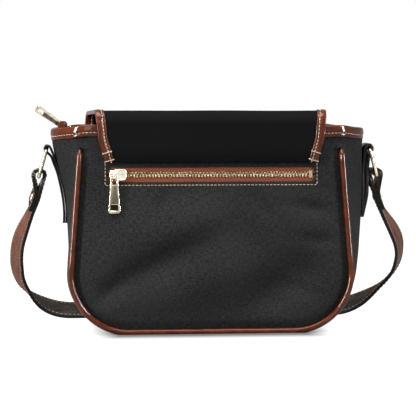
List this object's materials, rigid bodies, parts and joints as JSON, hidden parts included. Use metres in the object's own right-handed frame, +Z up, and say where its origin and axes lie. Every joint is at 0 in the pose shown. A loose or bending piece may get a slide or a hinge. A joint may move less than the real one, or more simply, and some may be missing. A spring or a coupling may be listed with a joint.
{
  "type": "saddle handbag",
  "caption": "Saddle handbag with a rounded fabric body, leather piping and rim, zipped back pocket, zipped top, over-the-top flap and a leather strap on side rings.",
  "frame": {"origin": "centre of the flat base that the bag rests on", "axes": "+Z up, +X to the right when facing the back with the pocket zip, +Y from the back towards the flap's front"},
  "size_m": [0.36, 0.1426, 0.2085],
  "materials": {
    "canvas": "woven",
    "lining_cloth": "plain woven",
    "tan_leather": "smooth semi-gloss",
    "black_leather": "smooth",
    "zip_tape": "herringbone tape",
    "gold_metal": "polished pale gold plate",
    "dark_inlay": "dark enamel",
    "base_board": "plain board",
    "magnet_steel": "plated"
  },
  "bodies": {
    "bag": {"back_panel": "canvas", "front_panel": "canvas", "gusset": "canvas", "lining": "lining_cloth", "base_board": "base_board", "back_piping": "tan_leather", "front_piping": "tan_leather", "rim_binding": "tan_leather", "pocket_zip_tape_upper": "zip_tape", "pocket_zip_tape_lower": "zip_tape", "pocket_zip_teeth_upper": "gold_metal", "pocket_zip_teeth_lower": "gold_metal", "pocket_zip_stop": "gold_metal", "pocket_pouch": "lining_cloth", "main_zip_strip_back": "canvas", "main_zip_strip_front": "canvas", "main_zip_teeth_back": "gold_metal", "main_zip_teeth_front": "gold_metal", "main_zip_end_tabs": "tan_leather", "side_tab_left": "black_leather", "side_tab_right": "black_leather", "side_tab_loop_left": "black_leather", "side_tab_loop_right": "black_leather", "flap_tail": "canvas", "flap_tail_binding": "tan_leather", "body_magnet": "magnet_steel"},
    "flap": {"flap_bridge": "canvas", "flap_bridge_binding": "tan_leather", "flap_front": "canvas", "flap_front_binding": "tan_leather", "flap_magnet": "magnet_steel"},
    "main_slider": {"main_slider": "gold_metal"},
    "main_pull": {"main_pull": "gold_metal", "main_pull_inlay": "dark_inlay"},
    "pocket_slider": {"pocket_slider": "gold_metal"},
    "pocket_pull": {"pocket_pull": "gold_metal", "pocket_pull_inlay": "dark_inlay"},
    "strap": {"strap_face": "tan_leather", "strap_lining": "black_leather", "strap_rivet_left": "gold_metal", "strap_rivet_right": "gold_metal"},
    "ring_left": {"ring_left": "gold_metal"},
    "ring_right": {"ring_right": "gold_metal"}
  },
  "joints": [
    {"name": "flap_open", "type": "hinge", "parent": "bag", "child": "flap", "pos_m": [0, -0.04028, 0.17594], "axis": [1, 0, 0], "range_deg": [0, 150], "deforming": ["flap_bridge", "flap_bridge_binding"]},
    {"name": "main_zip_slide", "type": "slide", "parent": "bag", "child": "main_slider", "axis": [1, 0, 0], "range_m": [0, 0.258], "deforming": ["main_zip_strip_back", "main_zip_strip_front", "main_zip_teeth_back", "main_zip_teeth_front", "flap_bridge", "flap_bridge_binding"]},
    {"name": "main_pull_swing", "type": "hinge", "parent": "main_slider", "child": "main_pull", "pos_m": [-0.13103, 0, 0.18525], "axis": [-0.1485, 0.9659, -0.212], "range_deg": [0, 60]},
    {"name": "pocket_zip_slide", "type": "slide", "parent": "bag", "child": "pocket_slider", "axis": [1, 0, 0], "range_m": [0, 0.165], "deforming": ["pocket_zip_tape_upper", "pocket_zip_tape_lower", "pocket_zip_teeth_upper", "pocket_zip_teeth_lower"]},
    {"name": "pocket_pull_swing", "type": "hinge", "parent": "pocket_slider", "child": "pocket_pull", "pos_m": [-0.085, -0.0422, 0.1433], "axis": [-1, 0, 0], "range_deg": [0, 110]},
    {"name": "strap_lift", "type": "hinge", "parent": "bag", "child": "strap", "pos_m": [0, 0, 0.167], "axis": [1, 0, 0], "range_deg": [0, 115], "deforming": ["side_tab_loop_left", "side_tab_loop_right"]},
    {"name": "ring_left_rock", "type": "hinge", "parent": "strap", "child": "ring_left", "pos_m": [-0.15609, 0.0114, 0.14462], "axis": [0, 0.891, 0.454], "range_deg": [-6, 6], "deforming": ["side_tab_loop_left"]},
    {"name": "ring_right_rock", "type": "hinge", "parent": "strap", "child": "ring_right", "pos_m": [0.15609, 0.0114, 0.14462], "axis": [0, 0.891, 0.454], "range_deg": [-6, 6], "deforming": ["side_tab_loop_right"]}
  ]
}
